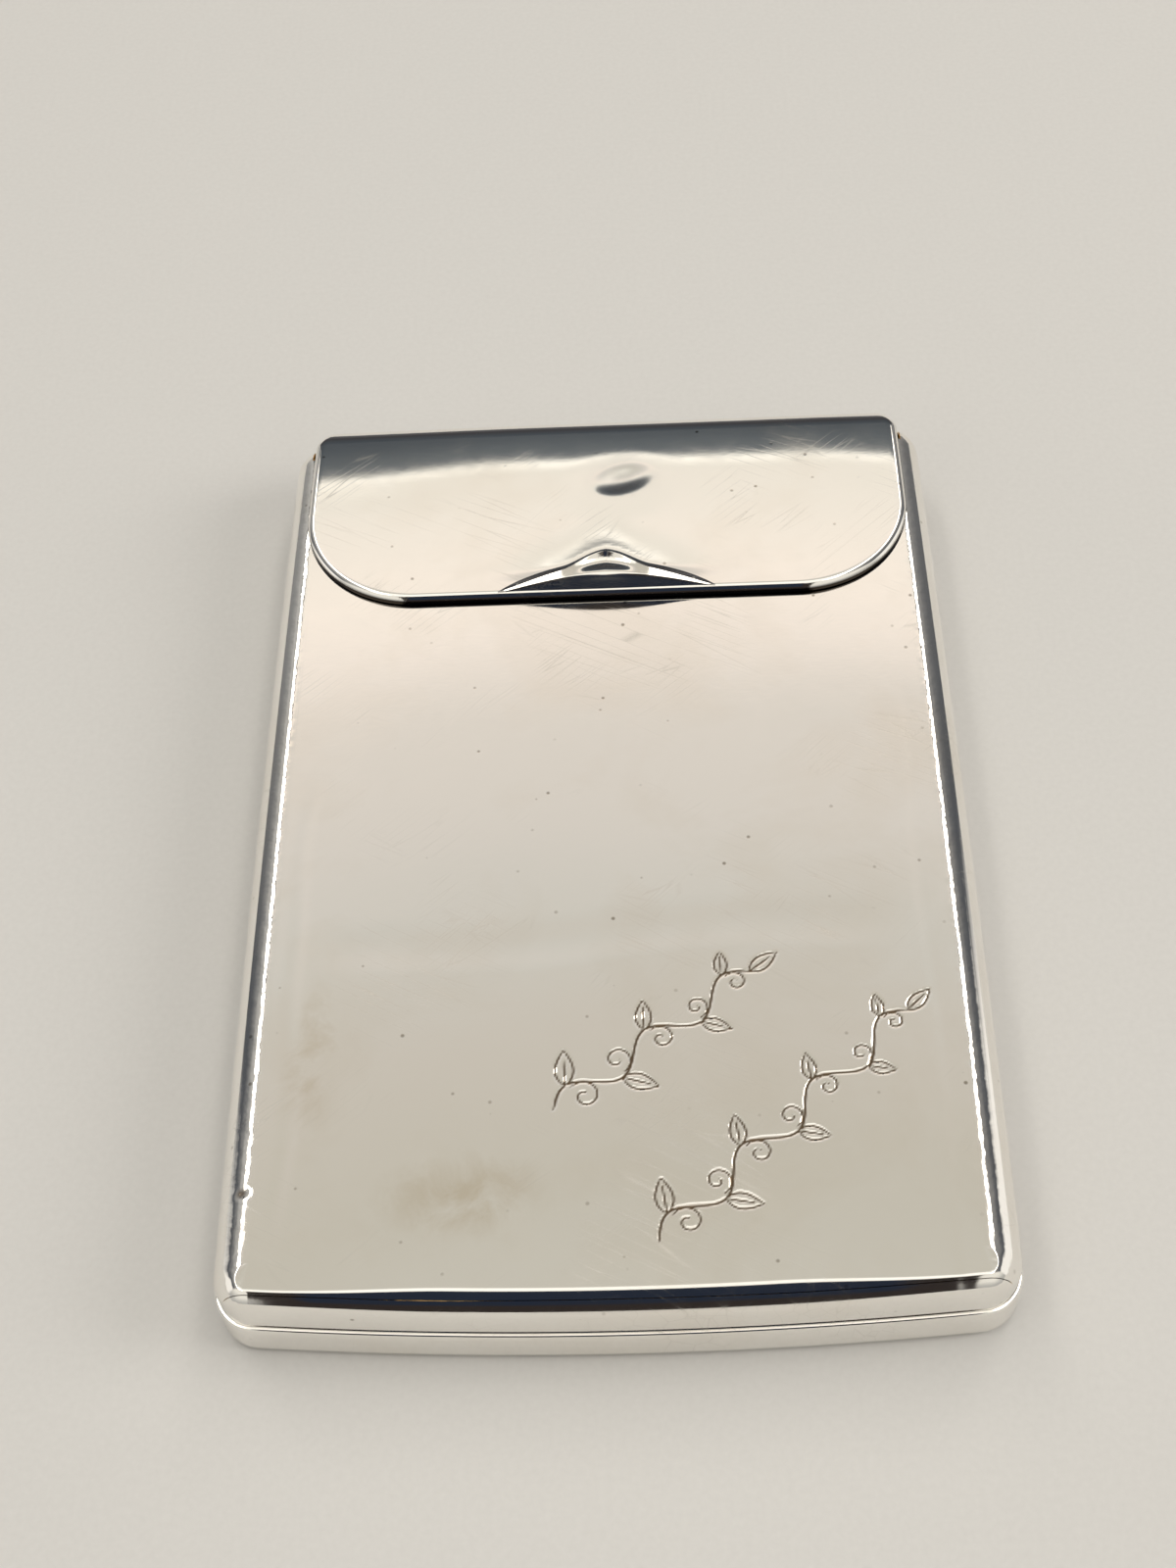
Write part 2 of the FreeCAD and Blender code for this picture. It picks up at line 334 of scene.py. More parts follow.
def hollow_cutter(name, flat_z, radius, inset, end_z, gaps):
    """What is taken out of a body shell: the cavity, less the tower cheeks, and the mouth's gaps.
    A gap runs from its start y to past the end, and upwards from its low z."""
    coarse = even(-1, 1, 0.1)
    cutter = pillow(name, coarse, even(0, 1, 0.05), rolled_profile(inset, flat_z, radius, end_z, 8), 8)
    low_z, high_z = min(flat_z, end_z) - 1, max(flat_z, end_z) + 1
    for side in (-1, 1):
        ends = sorted((side * MOUTH_HALF, side * (MOUTH_HALF + SHEET)))
        cheek = block("cheek", (ends[0], FRONT_PLATE_END - SHEET, low_z), (ends[1], BODY_END + 5, high_z))
        combine(cutter, cheek, "DIFFERENCE")
    for start, low in gaps:
        gap = block("gap", (-MOUTH_HALF, start, low), (MOUTH_HALF, BODY_END + 5, high_z + 3))
        combine(cutter, gap, "UNION")
    return cutter


# --- Hand of the maker and of time: slow waves, sags and dings in the sheet -------------------
def bell(distance, reach):
    """1 at distance 0, falling smoothly to 0 at reach."""
    share = np.clip(np.abs(distance) / reach, 0, 1)
    return (1 - share ** 2) ** 2


def ease(value, start, end):
    """0 before start, 1 after end, and smooth between them."""
    share = np.clip((value - start) / (end - start), 0, 1)
    return share * share * (3 - 2 * share)


def around(x, y, centre, half_sizes):
    """1 at a centre, falling smoothly to 0 on an ellipse round it."""
    across = (x - centre[0]) / half_sizes[0]
    along = (y - centre[1]) / half_sizes[1]
    return bell(np.hypot(across, along), 1.0)


def slow_waves(x, y, height, seed):
    """A few long shallow waves, as hand-planished sheet has."""
    rng = np.random.default_rng(seed)
    total = np.zeros_like(x)
    waves = 9
    for _ in range(waves):
        length = rng.uniform(14, 46)
        heading = rng.uniform(0, math.pi)
        phase = rng.uniform(0, 2 * math.pi)
        along = x * math.cos(heading) + y * math.sin(heading)
        total += np.sin(2 * math.pi * along / length + phase) * length
    mean_length = 30
    return height * total / (waves * mean_length)


def front_relief(points):
    """How far the front sheet stands out of true at each point."""
    x, y = points[:, 0], points[:, 1]
    relief = slow_waves(x, y, 0.03, SEED)
    left_ripple = -25.7 + 0.35 * np.sin(y / 7) + 0.2 * np.sin(y / 2.7)
    relief -= 0.020 * bell(x - left_ripple, 0.9) * ease(y, -42, -36) * (1 - ease(y, -4, 4))
    right_ripple = 26.1 + 0.3 * np.sin(y / 6)
    relief -= 0.012 * bell(x - right_ripple, 0.9) * (1 - ease(y, 4, 14))
    crease = -14.3 + 0.05 * x + 0.5 * np.sin(x / 5)
    relief -= 0.022 * bell(y - crease, 2.6) * (1 - ease(np.abs(x), 18, 26))
    relief -= 0.14 * around(x, y, DING, (0.75, 0.75))
    seam = y - FOOT_Y - FOOT_SEAM_DEPTH - foot_bow(x)
    relief -= 0.03 * bell(seam, 0.22)
    return relief


# --- Engraved scroll: two sprigs along slanting lines, with no letters ------------------------
ENGRAVED = ((-6.6, 26.4), (-43.0, -14.6))
FINE = 0.15
RIPPLE_END = -23.8
CUT_DEPTH = 0.05
STEM_CUT = 0.13
LEAF_CUT = 0.11
TENDRIL_CUT = 0.10


def spiral(centre, start_angle, radius, turns, way):
    """A tendril that curls in to its centre."""
    share = np.linspace(0, 1, 90)
    angle = start_angle + way * 2 * math.pi * turns * share
    reach = radius * (1 - 0.86 * share)
    return np.stack([centre[0] + reach * np.cos(angle), centre[1] + reach * np.sin(angle)], axis=1)


def leaf(base, heading, length, width):
    """A pointed leaf's outline, and its midrib, which stops three quarters of the way along."""
    share = np.linspace(0, 1, 60)
    midrib_end = 46
    along = np.array([math.cos(heading), math.sin(heading)])
    across = np.array([-along[1], along[0]])
    swell = width * np.sin(math.pi * share ** 0.8)
    middle = np.asarray(base) + np.outer(share * length, along)
    return [middle + np.outer(swell, across), middle - np.outer(swell, across), middle[:midrib_end]]


def sprig(start, end, bends, sway, size):
    """A waving stem from start to end with a leaf or a tendril at each bend."""
    start, end = np.asarray(start, float), np.asarray(end, float)
    run = end - start
    heading = math.atan2(run[1], run[0])
    across = np.array([-math.sin(heading), math.cos(heading)])
    share = np.linspace(0, 1, 400)
    wave = sway * np.sin(math.pi * bends * share)
    stem = start + np.outer(share, run) + np.outer(wave, across)
    strokes = [(stem, STEM_CUT)]
    for bend in range(bends):
        at = (bend + 0.5) / bends
        side = 1 if bend % 2 == 0 else -1
        base = start + at * run + side * sway * across
        grown = size * (1.0 - 0.35 * at)
        outline = leaf(base, heading + side * 0.95, 2.3 * grown, 0.52 * grown)
        strokes += [(part, LEAF_CUT) for part in outline]
        under = base - side * 1.2 * grown * across + 0.5 * grown * run / np.linalg.norm(run)
        tendril = spiral(under, heading + side * 1.9, 0.95 * grown, 1.3, -side)
        strokes.append((tendril, TENDRIL_CUT))
    strokes += [(part, LEAF_CUT) for part in leaf(end, heading, 2.0 * size, 0.42 * size)]
    return strokes


def engraving_strokes():
    """The two sprigs' strokes, each with its width."""
    first = sprig((-4.6, -30.4), (11.2, -18.2), 5, 1.15, 1.45)
    second = sprig((3.4, -41.6), (23.6, -22.2), 7, 1.15, 1.35)
    return first + second


def engraving_depth(points):
    """From 0 to 1, how deep the graver cut at each point."""
    samples, widths = [], []
    for stroke, width in engraving_strokes():
        lengths = np.concatenate([[0], np.cumsum(np.linalg.norm(np.diff(stroke, axis=0), axis=1))])
        places = np.arange(0, lengths[-1], 0.06)
        samples.append(np.stack([np.interp(places, lengths, stroke[:, i]) for i in range(2)], axis=1))
        taper = np.minimum(places, lengths[-1] - places) / 0.8
        widths.append(width * (0.55 + 0.45 * np.clip(taper, 0, 1)))
    samples, widths = np.concatenate(samples), np.concatenate(widths)
    tree = kdtree.KDTree(len(samples))
    for i, (px, py) in enumerate(samples):
        tree.insert((px, py, 0), i)
    tree.balance()
    depth = np.zeros(len(points))
    (x_low, x_high), (y_low, y_high) = ENGRAVED
    near = np.flatnonzero((points[:, 0] > x_low) & (points[:, 0] < x_high)
                          & (points[:, 1] > y_low) & (points[:, 1] < y_high)
                          & (points[:, 2] > BODY_TOP - 0.1))
    for i in near:
        _, which, distance = tree.find((points[i, 0], points[i, 1], 0))
        share = distance / (1.25 * widths[which])
        if share < 1:
            depth[i] = (1 - share ** 2) ** 1.5
    return depth


# --- Body shells ------------------------------------------------------------------------------
def make_front():
    """The front half of the body, parted into the front shell and the foot wall."""
    flat_half = HALF_WIDTH - CORNER
    flat_long = BODY_END - FOOT_Y - 2 * CORNER
    (x_low, x_high), (y_low, y_high) = ENGRAVED
    ripple = even(-1, RIPPLE_END / flat_half, 0.35 / flat_half)
    columns = graded(ripple[-1], 1, x_low / flat_half, min(x_high / flat_half, 0.99),
                     0.9 / flat_half, FINE / flat_half)
    columns = np.concatenate([ripple[:-1], columns])
    y_start = FOOT_Y + CORNER
    rows = graded(0, 1, max(0.001, (y_low - y_start) / flat_long), (y_high - y_start) / flat_long,
                  0.7 / flat_long, FINE / flat_long)
    profile = rolled_profile(RIM_PROUD, BODY_TOP, FRONT_ROLL, SEAM_Z + RIM_ROUND, 14)
    profile.append((RIM_PROUD + RIM_ROUND, SEAM_Z))
    front = pillow("front_shell_silver", columns, rows, profile, 18, foot_shoulder)
    cutter = hollow_cutter("front_cutter", BODY_TOP - SHEET, FRONT_ROLL - SHEET, RIM_PROUD + SHEET,
                           SEAM_Z - SHEET, [(FRONT_PLATE_END, SEAM_Z - 3)])
    combine(front, cutter, "DIFFERENCE")
    points = coordinates(front)
    depth = engraving_depth(points)
    lifted = ease(points[:, 2], SEAM_Z, SEAM_Z + 2)
    points[:, 2] += lifted * front_relief(points) - CUT_DEPTH * depth
    set_coordinates(front, points)
    x, y = points[:, 0], points[:, 1]
    write_attribute(front, "dirt_and_shade", np.maximum(depth, 0.8 * around(x, y, DING_DIRT, (0.7, 0.7))))
    write_attribute(front, "wear", bell(np.abs(x) - HALF_WIDTH + WEAR_INSET, WEAR_REACH))
    smudges = [strength * around(x, y, centre, half) for strength, centre, half in SMUDGES]
    write_attribute(front, "smudge", np.max(smudges, axis=0))
    foot = duplicate(front, "foot_wall_silver")
    keep_side(front, FOOT_Y + FOOT_SEAM_DEPTH + SEAM_GAP / 2, above=True)
    keep_side(foot, FOOT_Y + FOOT_SEAM_DEPTH - SEAM_GAP / 2, above=False)
    smooth(front)
    smooth(foot)
    return front, foot


def make_back():
    """The tray-shaped back, whose rim stands a little proud of the front."""
    profile = rolled_profile(0, 0, BACK_ROLL, SEAM_Z - RIM_ROUND, 10)
    for step in (1, 2, 3):
        angle = 0.5 * math.pi * step / 3
        profile.append((RIM_ROUND * (1 - math.cos(angle)), SEAM_Z - RIM_ROUND * (1 - math.sin(angle))))
    back = pillow("back_shell_silver", even(-1, 1, 0.025), even(0, 1, 0.016), profile, 14)
    gaps = [(TONGUE_START, SHEET), (BACK_PLATE_END, -3)]
    cutter = hollow_cutter("back_cutter", SHEET, BACK_ROLL - SHEET, SHEET, SEAM_Z + SHEET, gaps)
    combine(back, cutter, "DIFFERENCE")
    points = coordinates(back)
    waves = slow_waves(points[:, 0], points[:, 1], 0.02, SEED + 1)
    inner = 1 - ease(points[:, 2], 1.0, 3.0)
    points[:, 2] += inner * np.clip(waves + 0.02, 0, None)
    set_coordinates(back, points)
    smooth(back)
    return back


# --- Lid --------------------------------------------------------------------------------------
def lid_row(y, z, normal, edge, depth, turn=0.5 * math.pi, half=None):
    """A row across the lid's sheet: its centre, half width and normal, how wide its edge is
    rounded, how far the edge turns down, and the flap's corner angle there."""
    half = LID_HALF - edge if half is None else half
    return dict(y=y, z=z, half=half, ny=normal[0], nz=normal[1], edge=edge, depth=depth, turn=turn)


def lid_rows():
    """Rows from the flap's free edge, over the rolled end and down the end wall."""
    rows = []
    flap_depth = LID_TOP - BODY_TOP - FLAP_GAP
    corner = FLAP_CORNER - LID_EDGE
    for angle in np.linspace(0, 0.5 * math.pi, 34):
        y = FLAP_Y + LID_EDGE + corner * (1 - math.cos(angle))
        half = LID_HALF - LID_EDGE - corner * (1 - math.sin(angle))
        rows.append(lid_row(y, LID_TOP, (0.0, 1.0), LID_EDGE, flap_depth, angle, half))
    straight_start = FLAP_Y + LID_EDGE + corner
    roll_y = LID_END - LID_ROLL
    roll_z = LID_TOP - LID_ROLL
    for y in even(straight_start, roll_y, 0.33)[1:]:
        rows.append(lid_row(y, LID_TOP, (0.0, 1.0), LID_EDGE, flap_depth))
    rim_z = BODY_TOP + FLAP_GAP
    for angle in np.linspace(0, 0.5 * math.pi, 19)[1:]:
        s, c = math.sin(angle), math.cos(angle)
        edge = LID_EDGE + (LID_END_EDGE - LID_EDGE) * s
        to_rim = LID_ROLL - (rim_z - roll_z) / max(c, 1e-6)
        to_wall = LID_ROLL - (LID_WALL_START - roll_y) / s
        y, z = roll_y + LID_ROLL * s, roll_z + LID_ROLL * c
        rows.append(lid_row(y, z, (s, c), edge, max(to_rim, to_wall)))
    for z in even(roll_z, LID_WALL_Z, -0.5)[1:]:
        rows.append(lid_row(LID_END, z, (1.0, 0.0), LID_END_EDGE, LID_END - LID_WALL_START))
    return rows


def lid_skin(rows, inward, columns, round_steps):
    """One skin of the lid: the sheet's grid, then rings round its edge and down the turned rim.
    The rings leave out the end wall's bottom, which is open."""
    thinnest_round = 0.12
    vertices = []
    for row in rows:
        y, z = row["y"] - inward * row["ny"], row["z"] - inward * row["nz"]
        vertices += [(share * row["half"], y, z) for share in columns]
    wide = len(columns)
    faces = [(r * wide + c, r * wide + c + 1, (r + 1) * wide + c + 1, (r + 1) * wide + c)
             for r in range(len(rows) - 1) for c in range(wide - 1)]
    loop = [(r, 0, -1) for r in range(len(rows) - 1, -1, -1)]
    loop += [(0, c, 0) for c in range(1, wide - 1)]
    loop += [(r, wide - 1, 1) for r in range(len(rows))]
    ring = [r * wide + c for r, c, _ in loop]
    for step in range(1, round_steps + 2):
        start = len(vertices)
        for r, c, side in loop:
            row = rows[r]
            edge = row["edge"]
            angle = 0.5 * math.pi * min(step, round_steps) / round_steps
            small = max(edge - inward, thinnest_round)
            out = (edge - inward - small) + small * math.sin(angle)
            down = inward + small * (1 - math.cos(angle))
            if step > round_steps:
                down = max(row["depth"], down + 0.01)
            turn = row["turn"]
            mx, my = (side * math.sin(turn), -math.cos(turn)) if side else (0.0, -1.0)
            x = columns[c] * row["half"] + out * mx
            y = row["y"] + out * my - down * row["ny"]
            z = row["z"] - down * row["nz"]
            vertices.append((x, y, z))
        following = list(range(start, len(vertices)))
        faces += [(ring[i], ring[i + 1], following[i + 1], following[i])
                  for i in range(len(ring) - 1)]
        ring = following
    bottom = [(len(rows) - 1) * wide + c for c in range(wide)]
    return vertices, faces, ring, bottom


def lid_relief(points):
    """How far the lid's sheet stands out of true: waves, drooping end corners, the dent, and the
    swell behind the thumb piece."""
    x, y = points[:, 0], points[:, 1]
    relief = slow_waves(x, y, 0.025, SEED + 2)
    relief -= 0.006 * np.clip(y - 37.6, 0, 6) ** 2
    relief -= 0.14 * ease(-x, 8, 29) * ease(y, 33, 44)
    relief -= 0.06 * ease(x, 20, 29) * ease(y, 34, 43)
    dx, dy = x - DENT[0], y - DENT[1]
    across = dx * DENT_SLANT[0] + dy * DENT_SLANT[1]
    along = dy * DENT_SLANT[0] - dx * DENT_SLANT[1]
    relief -= 0.045 * around(across, along, (-0.6, -0.7), (6.4, 5.2))
    relief -= 0.29 * around(across, along, (0.0, 0.0), (3.3, 2.0))
    share = np.clip(np.abs(x) / (THUMB_HALF + 1.2), 0, 1)
    behind = np.clip(y - thumb_foot(np.minimum(np.abs(x) / THUMB_HALF, 1)), 0, None)
    swell = 0.14 * (1 - share ** 2) * np.clip(1 - behind / 4.6, 0, 1) ** 2
    return relief + swell * ease(y, FLAP_Y + 1.6, FLAP_Y + 3.2)


def flap_edge_shade_and_grime(points):
    """Painted shade of the gap under the flap, with some grime: dark along the flap's lower edge, fading
    up the lid's sides.
    """
    low = 1 - ease(points[:, 2], LID_TOP - 0.52, LID_TOP - 0.30)
    inside = (np.abs(points[:, 0]) < LID_HALF - SHEET) & (points[:, 1] > FLAP_Y + FLAP_CORNER)
    edge_darkening = low * (1 - 0.8 * ease(points[:, 1], 30, 37))
    return np.where(inside, 0, edge_darkening)


def between_skins(border, count):
    """Faces that join a border of the outer skin to the inner skin's, numbered count higher."""
    return [(a, b, count + b, count + a) for a, b in zip(border, border[1:])]


def make_lid():
    """The lid: two skins alike, joined along the turned rim and the end wall's open bottom."""
    rows = lid_rows()
    columns = even(-1, 1, 0.0125)
    outer, outer_faces, rim, bottom = lid_skin(rows, 0.0, columns, 8)
    inner, inner_faces, _, _ = lid_skin(rows, SHEET, columns, 8)
    count = len(outer)
    faces = outer_faces + [tuple(count + i for i in face) for face in inner_faces]
    faces += between_skins(rim, count)
    ring_starts = list(range(len(rows) * len(columns), count, len(rim)))
    left = [bottom[0]] + ring_starts
    right = [bottom[-1]] + [start + len(rim) - 1 for start in ring_starts]
    faces += between_skins(left[::-1] + bottom[1:-1] + right, count)
    lid = new_piece("lid_shell_silver", outer + inner, faces)
    points = coordinates(lid)
    points[:, 2] += lid_relief(points) * ease(points[:, 2], 5.5, 8.5)
    set_coordinates(lid, points)
    write_attribute(lid, "scuff", 0.16 * around(points[:, 0], points[:, 1], DENT, (5.4, 4.2)))
    # Painted shade along the flap's lower edge, where the gap under it falls dark, with some grime.
    write_attribute(lid, "dirt_and_shade", flap_edge_shade_and_grime(points))
    for face in lid.data.polygons[len(outer_faces):len(outer_faces) + len(inner_faces)]:
        face.material_index = 1
    smooth(lid)
    return lid


# --- Thumb piece ------------------------------------------------------------------------------
def thumb_ridge(share):
    """At a share of the half length: the y of the lip's foot, the y and the height of its front
    edge, and the y and the height of its ridge."""
    almond = bell(share, 0.41)
    base = FLAP_Y + 0.45 + 0.65 * (1 - share ** 1.6)
    edge = FLAP_Y + 0.80 - 0.35 * share ** 3
    rise = 1.60 * (1 - share ** 2) ** 1.45
    shelf = 0.05 + 1.45 * (1 - share) + 1.20 * almond
    height = rise + 0.27 * (1 - share)
    return base, edge, rise, edge + shelf, height


def thumb_foot(share):
    """Where the lip's back comes down to the lid."""
    ridge = thumb_ridge(share)[3]
    return ridge + 0.15 + 1.9 * (1 - share ** 2.6)


def make_thumb_piece():
    """The lip on the flap: a steep leaning front, a top dished as an almond, a hollow back."""
    riser_steps, shelf_steps, back_steps = 10, 24, 22
    bevel = 0.10
    sunk = LID_TOP - 0.12
    vertices = []
    for x in THUMB_HALF * np.sin(np.linspace(-0.5, 0.5, 181) * math.pi):
        share = min(abs(x) / THUMB_HALF, 1.0)
        base, edge, rise, ridge, height = (float(value) for value in thumb_ridge(share))
        foot = float(thumb_foot(share))
        dish = 0.36 * float(bell(share, 0.29)) ** 0.6
        low = bevel * min(1.0, rise / 0.5)
        section = []
        for k in range(riser_steps):
            t = k / riser_steps
            section.append((base + (edge - base) * t ** 1.4, LID_TOP + (rise - low) * t))
        for k in range(shelf_steps + 1):
            t = k / shelf_steps
            lip = low * (1 - (1 - min(t / 0.14, 1.0)) ** 2)
            sag = dish * math.sin(math.pi * (max(t - 0.10, 0) / 0.90) ** 1.5) ** 1.2
            top = LID_TOP + rise - low + lip + (height - rise) * t - sag
            section.append((edge + (ridge - edge) * t, top))
        for k in range(1, back_steps + 1):
            t = k / back_steps
            section.append((ridge + (foot - ridge) * (0.12 * math.sin(math.pi * t) + t),
                            LID_TOP + height * (1 - t) ** 1.35 - 0.01 * t))
        section.append((foot, sunk))
        section.append((base, sunk))
        vertices += [(x, y, z) for y, z in section]
    ring = riser_steps + shelf_steps + 1 + back_steps + 2
    rings = len(vertices) // ring
    faces = [(s * ring + k, s * ring + (k + 1) % ring,
              (s + 1) * ring + (k + 1) % ring, (s + 1) * ring + k)
             for s in range(rings - 1) for k in range(ring)]
    faces += [tuple(range(ring)), tuple(range(len(vertices) - ring, len(vertices)))]
    thumb = new_piece("thumb_piece_silver", vertices, faces)
    smooth(thumb, 50)
    return thumb


# --- Materials --------------------------------------------------------------------------------
def node(tree, kind, at, **settings):
    made = tree.nodes.new(kind)
    made.location = at
    for key, value in settings.items():
        setattr(made, key, value)
    return made


def noise(tree, vector, scale, detail, at, roughness=0.5, distortion=0.0):
    made = node(tree, "ShaderNodeTexNoise", at)
    made.inputs["Scale"].default_value = scale
    made.inputs["Detail"].default_value = detail
    made.inputs["Roughness"].default_value = roughness
    made.inputs["Distortion"].default_value = distortion
    tree.links.new(vector, made.inputs["Vector"])
    return made.outputs["Fac"]


def ramp(tree, value, start, end, at, low=0.0, high=1.0):
    """Maps value from start..end to low..high, clamped."""
    made = node(tree, "ShaderNodeMapRange", at)
    for key, number in zip(("From Min", "From Max", "To Min", "To Max"), (start, end, low, high)):
        made.inputs[key].default_value = number
    tree.links.new(value, made.inputs["Value"])
    return made.outputs["Result"]


def maths(tree, operation, a, b, at):
    made = node(tree, "ShaderNodeMath", at, operation=operation)
    for socket, value in zip(made.inputs, (a, b)):
        if isinstance(value, (int, float)):
            socket.default_value = value
        else:
            tree.links.new(value, socket)
    return made.outputs["Value"]


def tint(tree, factor, under, over, at):
    """Mixes a colour or a socket with a colour by factor."""
    made = node(tree, "ShaderNodeMix", at, data_type="RGBA")
    tree.links.new(factor, made.inputs["Factor"])
    for socket, value in ((made.inputs["A"], under), (made.inputs["B"], over)):
        if isinstance(value, tuple):
            socket.default_value = (*value, 1.0)
        else:
            tree.links.new(value, socket)
    return made.outputs["Result"]


def stretched(tree, source, scale, turn, at):
    """The coordinates turned, and then scaled on each axis."""
    mapping = node(tree, "ShaderNodeMapping", at, vector_type="TEXTURE")
    mapping.inputs["Scale"].default_value = tuple(1 / factor for factor in scale)
    mapping.inputs["Rotation"].default_value = (0, 0, turn)
    tree.links.new(source, mapping.inputs["Vector"])
    return mapping.outputs["Vector"]


def scratches(tree, source, turn, scale, at):
    """Long thin random scratches in one direction, 0 to 1."""
    vector = stretched(tree, source, (scale * 0.05, scale, scale * 0.4), turn, at)
    cells = node(tree, "ShaderNodeTexVoronoi", (at[0] + 180, at[1]), feature="DISTANCE_TO_EDGE")
    cells.inputs["Scale"].default_value = 1.0
    tree.links.new(vector, cells.inputs["Vector"])
    line = ramp(tree, cells.outputs["Distance"], 0.0, 0.03, (at[0] + 360, at[1]), 1.0, 0.0)
    patches = ramp(tree, noise(tree, source, scale * 0.09, 2.0, (at[0] + 180, at[1] - 160)), 0.54, 0.68,
                   (at[0] + 360, at[1] - 160))
    return maths(tree, "MULTIPLY", line, patches, (at[0] + 540, at[1]))


def stored(tree, name, at):
    """The number that a mesh stores under this name, or 0 where it stores none."""
    return node(tree, "ShaderNodeAttribute", at, attribute_name=name).outputs["Fac"]


def pit_mask(tree, where):
    """Small round pits, in patches, 0 to 1."""
    pits = node(tree, "ShaderNodeTexVoronoi", (-1300, 300))
    pits.inputs["Scale"].default_value = 420
    tree.links.new(where, pits.inputs["Vector"])
    dots = ramp(tree, pits.outputs["Distance"], 0.09, 0.04, (-1100, 300))
    patches = ramp(tree, noise(tree, where, 160, 2, (-1300, 150)), 0.44, 0.58, (-1100, 150))
    return maths(tree, "MULTIPLY", dots, patches, (-1000, 250))


def tarnish_mask(tree, where, clouds, dulling):
    """How tarnished the metal is: a trace everywhere, slow clouds, and the stored smudges."""
    trace = 0.02
    broken = ramp(tree, noise(tree, where, 240, 5, (-1300, 850), 0.6, 0.6), 0.35, 0.6, (-1100, 850))
    smudge = maths(tree, "MULTIPLY", stored(tree, "smudge", (-1300, 700)), broken, (-900, 700))
    stain = maths(tree, "MULTIPLY_ADD", clouds, dulling, (-900, 400))
    stain.node.inputs[2].default_value = trace
    return maths(tree, "MAXIMUM", stain, smudge, (-800, 550))


def gloss_level(tree, where, clouds, lines, roughness):
    """Uneven roughness: rubbed swirls, duller where tarnished, scuffed or scratched."""
    swirls = noise(tree, where, 260, 5, (-1300, -400), 0.65, 0.8)
    rubbed = ramp(tree, swirls, 0.35, 0.75, (-900, -450), roughness * 0.7, roughness * 1.3)
    dulled = ramp(tree, clouds, 0, 1, (-900, -200), 0.0, 0.05)
    gloss = maths(tree, "ADD", rubbed, dulled, (-500, -300))
    gloss = maths(tree, "ADD", gloss, stored(tree, "scuff", (-700, -150)), (-400, -200))
    worn = maths(tree, "MULTIPLY_ADD", lines, 0.12, (-300, -300))
    tree.links.new(gloss, worn.node.inputs[2])
    return worn


def bumped(tree, bumps):
    """One normal from several bumps, each (height, strength, distance in metres). A bump whose
    strength is below 0 sinks."""
    normal = None
    for i, (height, strength, distance) in enumerate(bumps):
        bump = node(tree, "ShaderNodeBump", (-100 + 180 * i, -600), invert=strength < 0)
        bump.inputs["Strength"].default_value = abs(strength)
        bump.inputs["Distance"].default_value = distance
        tree.links.new(height, bump.inputs["Height"])
        if normal:
            tree.links.new(normal, bump.inputs["Normal"])
        normal = bump.outputs["Normal"]
    return normal


def surface_normal(tree, where, spots, lines, grain):
    """Beaten unevenness, most on the worn side lines; fine rubbed grain; scratches and pits."""
    along = stretched(tree, where, (0.35, 1.0, 1.0), 0.03, (-1500, -200))
    rubbed = noise(tree, along, 3600, 3, (-1300, -200))
    wear = maths(tree, "ADD", stored(tree, "wear", (-700, -1300)), 0.02, (-500, -1300))
    beaten = noise(tree, where, 750, 2, (-1300, -1300), 0.5)
    beaten = maths(tree, "MULTIPLY", beaten, wear, (-300, -1300))
    shallow = maths(tree, "MULTIPLY", lines, 0.3, (-450, -800))
    cuts = maths(tree, "MAXIMUM", shallow, spots, (-300, -800))
    return bumped(tree, [
        (beaten, 0.8, 0.00018 * grain),
        (rubbed, 0.5, 0.000003 * grain),
        (cuts, -0.5, 0.000006),
    ])


def metal(name, clean, tarnish, dulling, roughness, grain, dirt_and_shade=None):
    """Old polished metal: slow tarnish clouds, fine rubbed grain, scratches, pits and uneven gloss.
    The last argument is the colour laid where the mesh stores its dark marks: tarnish in the engraving
    and the ding, and painted shade along the lid's flap edge."""
    material = bpy.data.materials.new(name)
    material.use_nodes = True
    tree = material.node_tree
    shader = tree.nodes["Principled BSDF"]
    shader.inputs["Metallic"].default_value = 1.0
    where = node(tree, "ShaderNodeTexCoord", (-1700, 0)).outputs["Object"]

    clouds = noise(tree, where, 70, 4, (-1300, 500), 0.6, 0.4)
    clouds = ramp(tree, clouds, 0.48, 0.78, (-1100, 500))
    spots = pit_mask(tree, where)
    lines = maths(tree, "MAXIMUM", scratches(tree, where, 0.75, 1300, (-1500, -600)),
                  scratches(tree, where, -0.5, 900, (-1500, -900)), (-700, -700))

    stain = tarnish_mask(tree, where, clouds, dulling)
    colour = tint(tree, stain, clean, tarnish, (-700, 500))
    fleck = maths(tree, "MAXIMUM", maths(tree, "MULTIPLY", spots, 0.75, (-900, 250)),
                  maths(tree, "MULTIPLY", lines, 0.13, (-900, 200)), (-700, 250))
    dark = tuple(0.35 * channel for channel in tarnish)
    colour = tint(tree, fleck, colour, dark, (-500, 450))
    if dirt_and_shade:
        # Darkens to the last colour where the mesh stores it: tarnish on the front, painted shade on the
        # lid's flap edge.
        depth = ramp(tree, stored(tree, "dirt_and_shade", (-900, 100)), 0.08, 0.8, (-700, 100))
        colour = tint(tree, depth, colour, dirt_and_shade, (-300, 400))
    tree.links.new(colour, shader.inputs["Base Color"])
    tree.links.new(gloss_level(tree, where, clouds, lines, roughness), shader.inputs["Roughness"])
    tree.links.new(surface_normal(tree, where, spots, lines, grain), shader.inputs["Normal"])
    return material


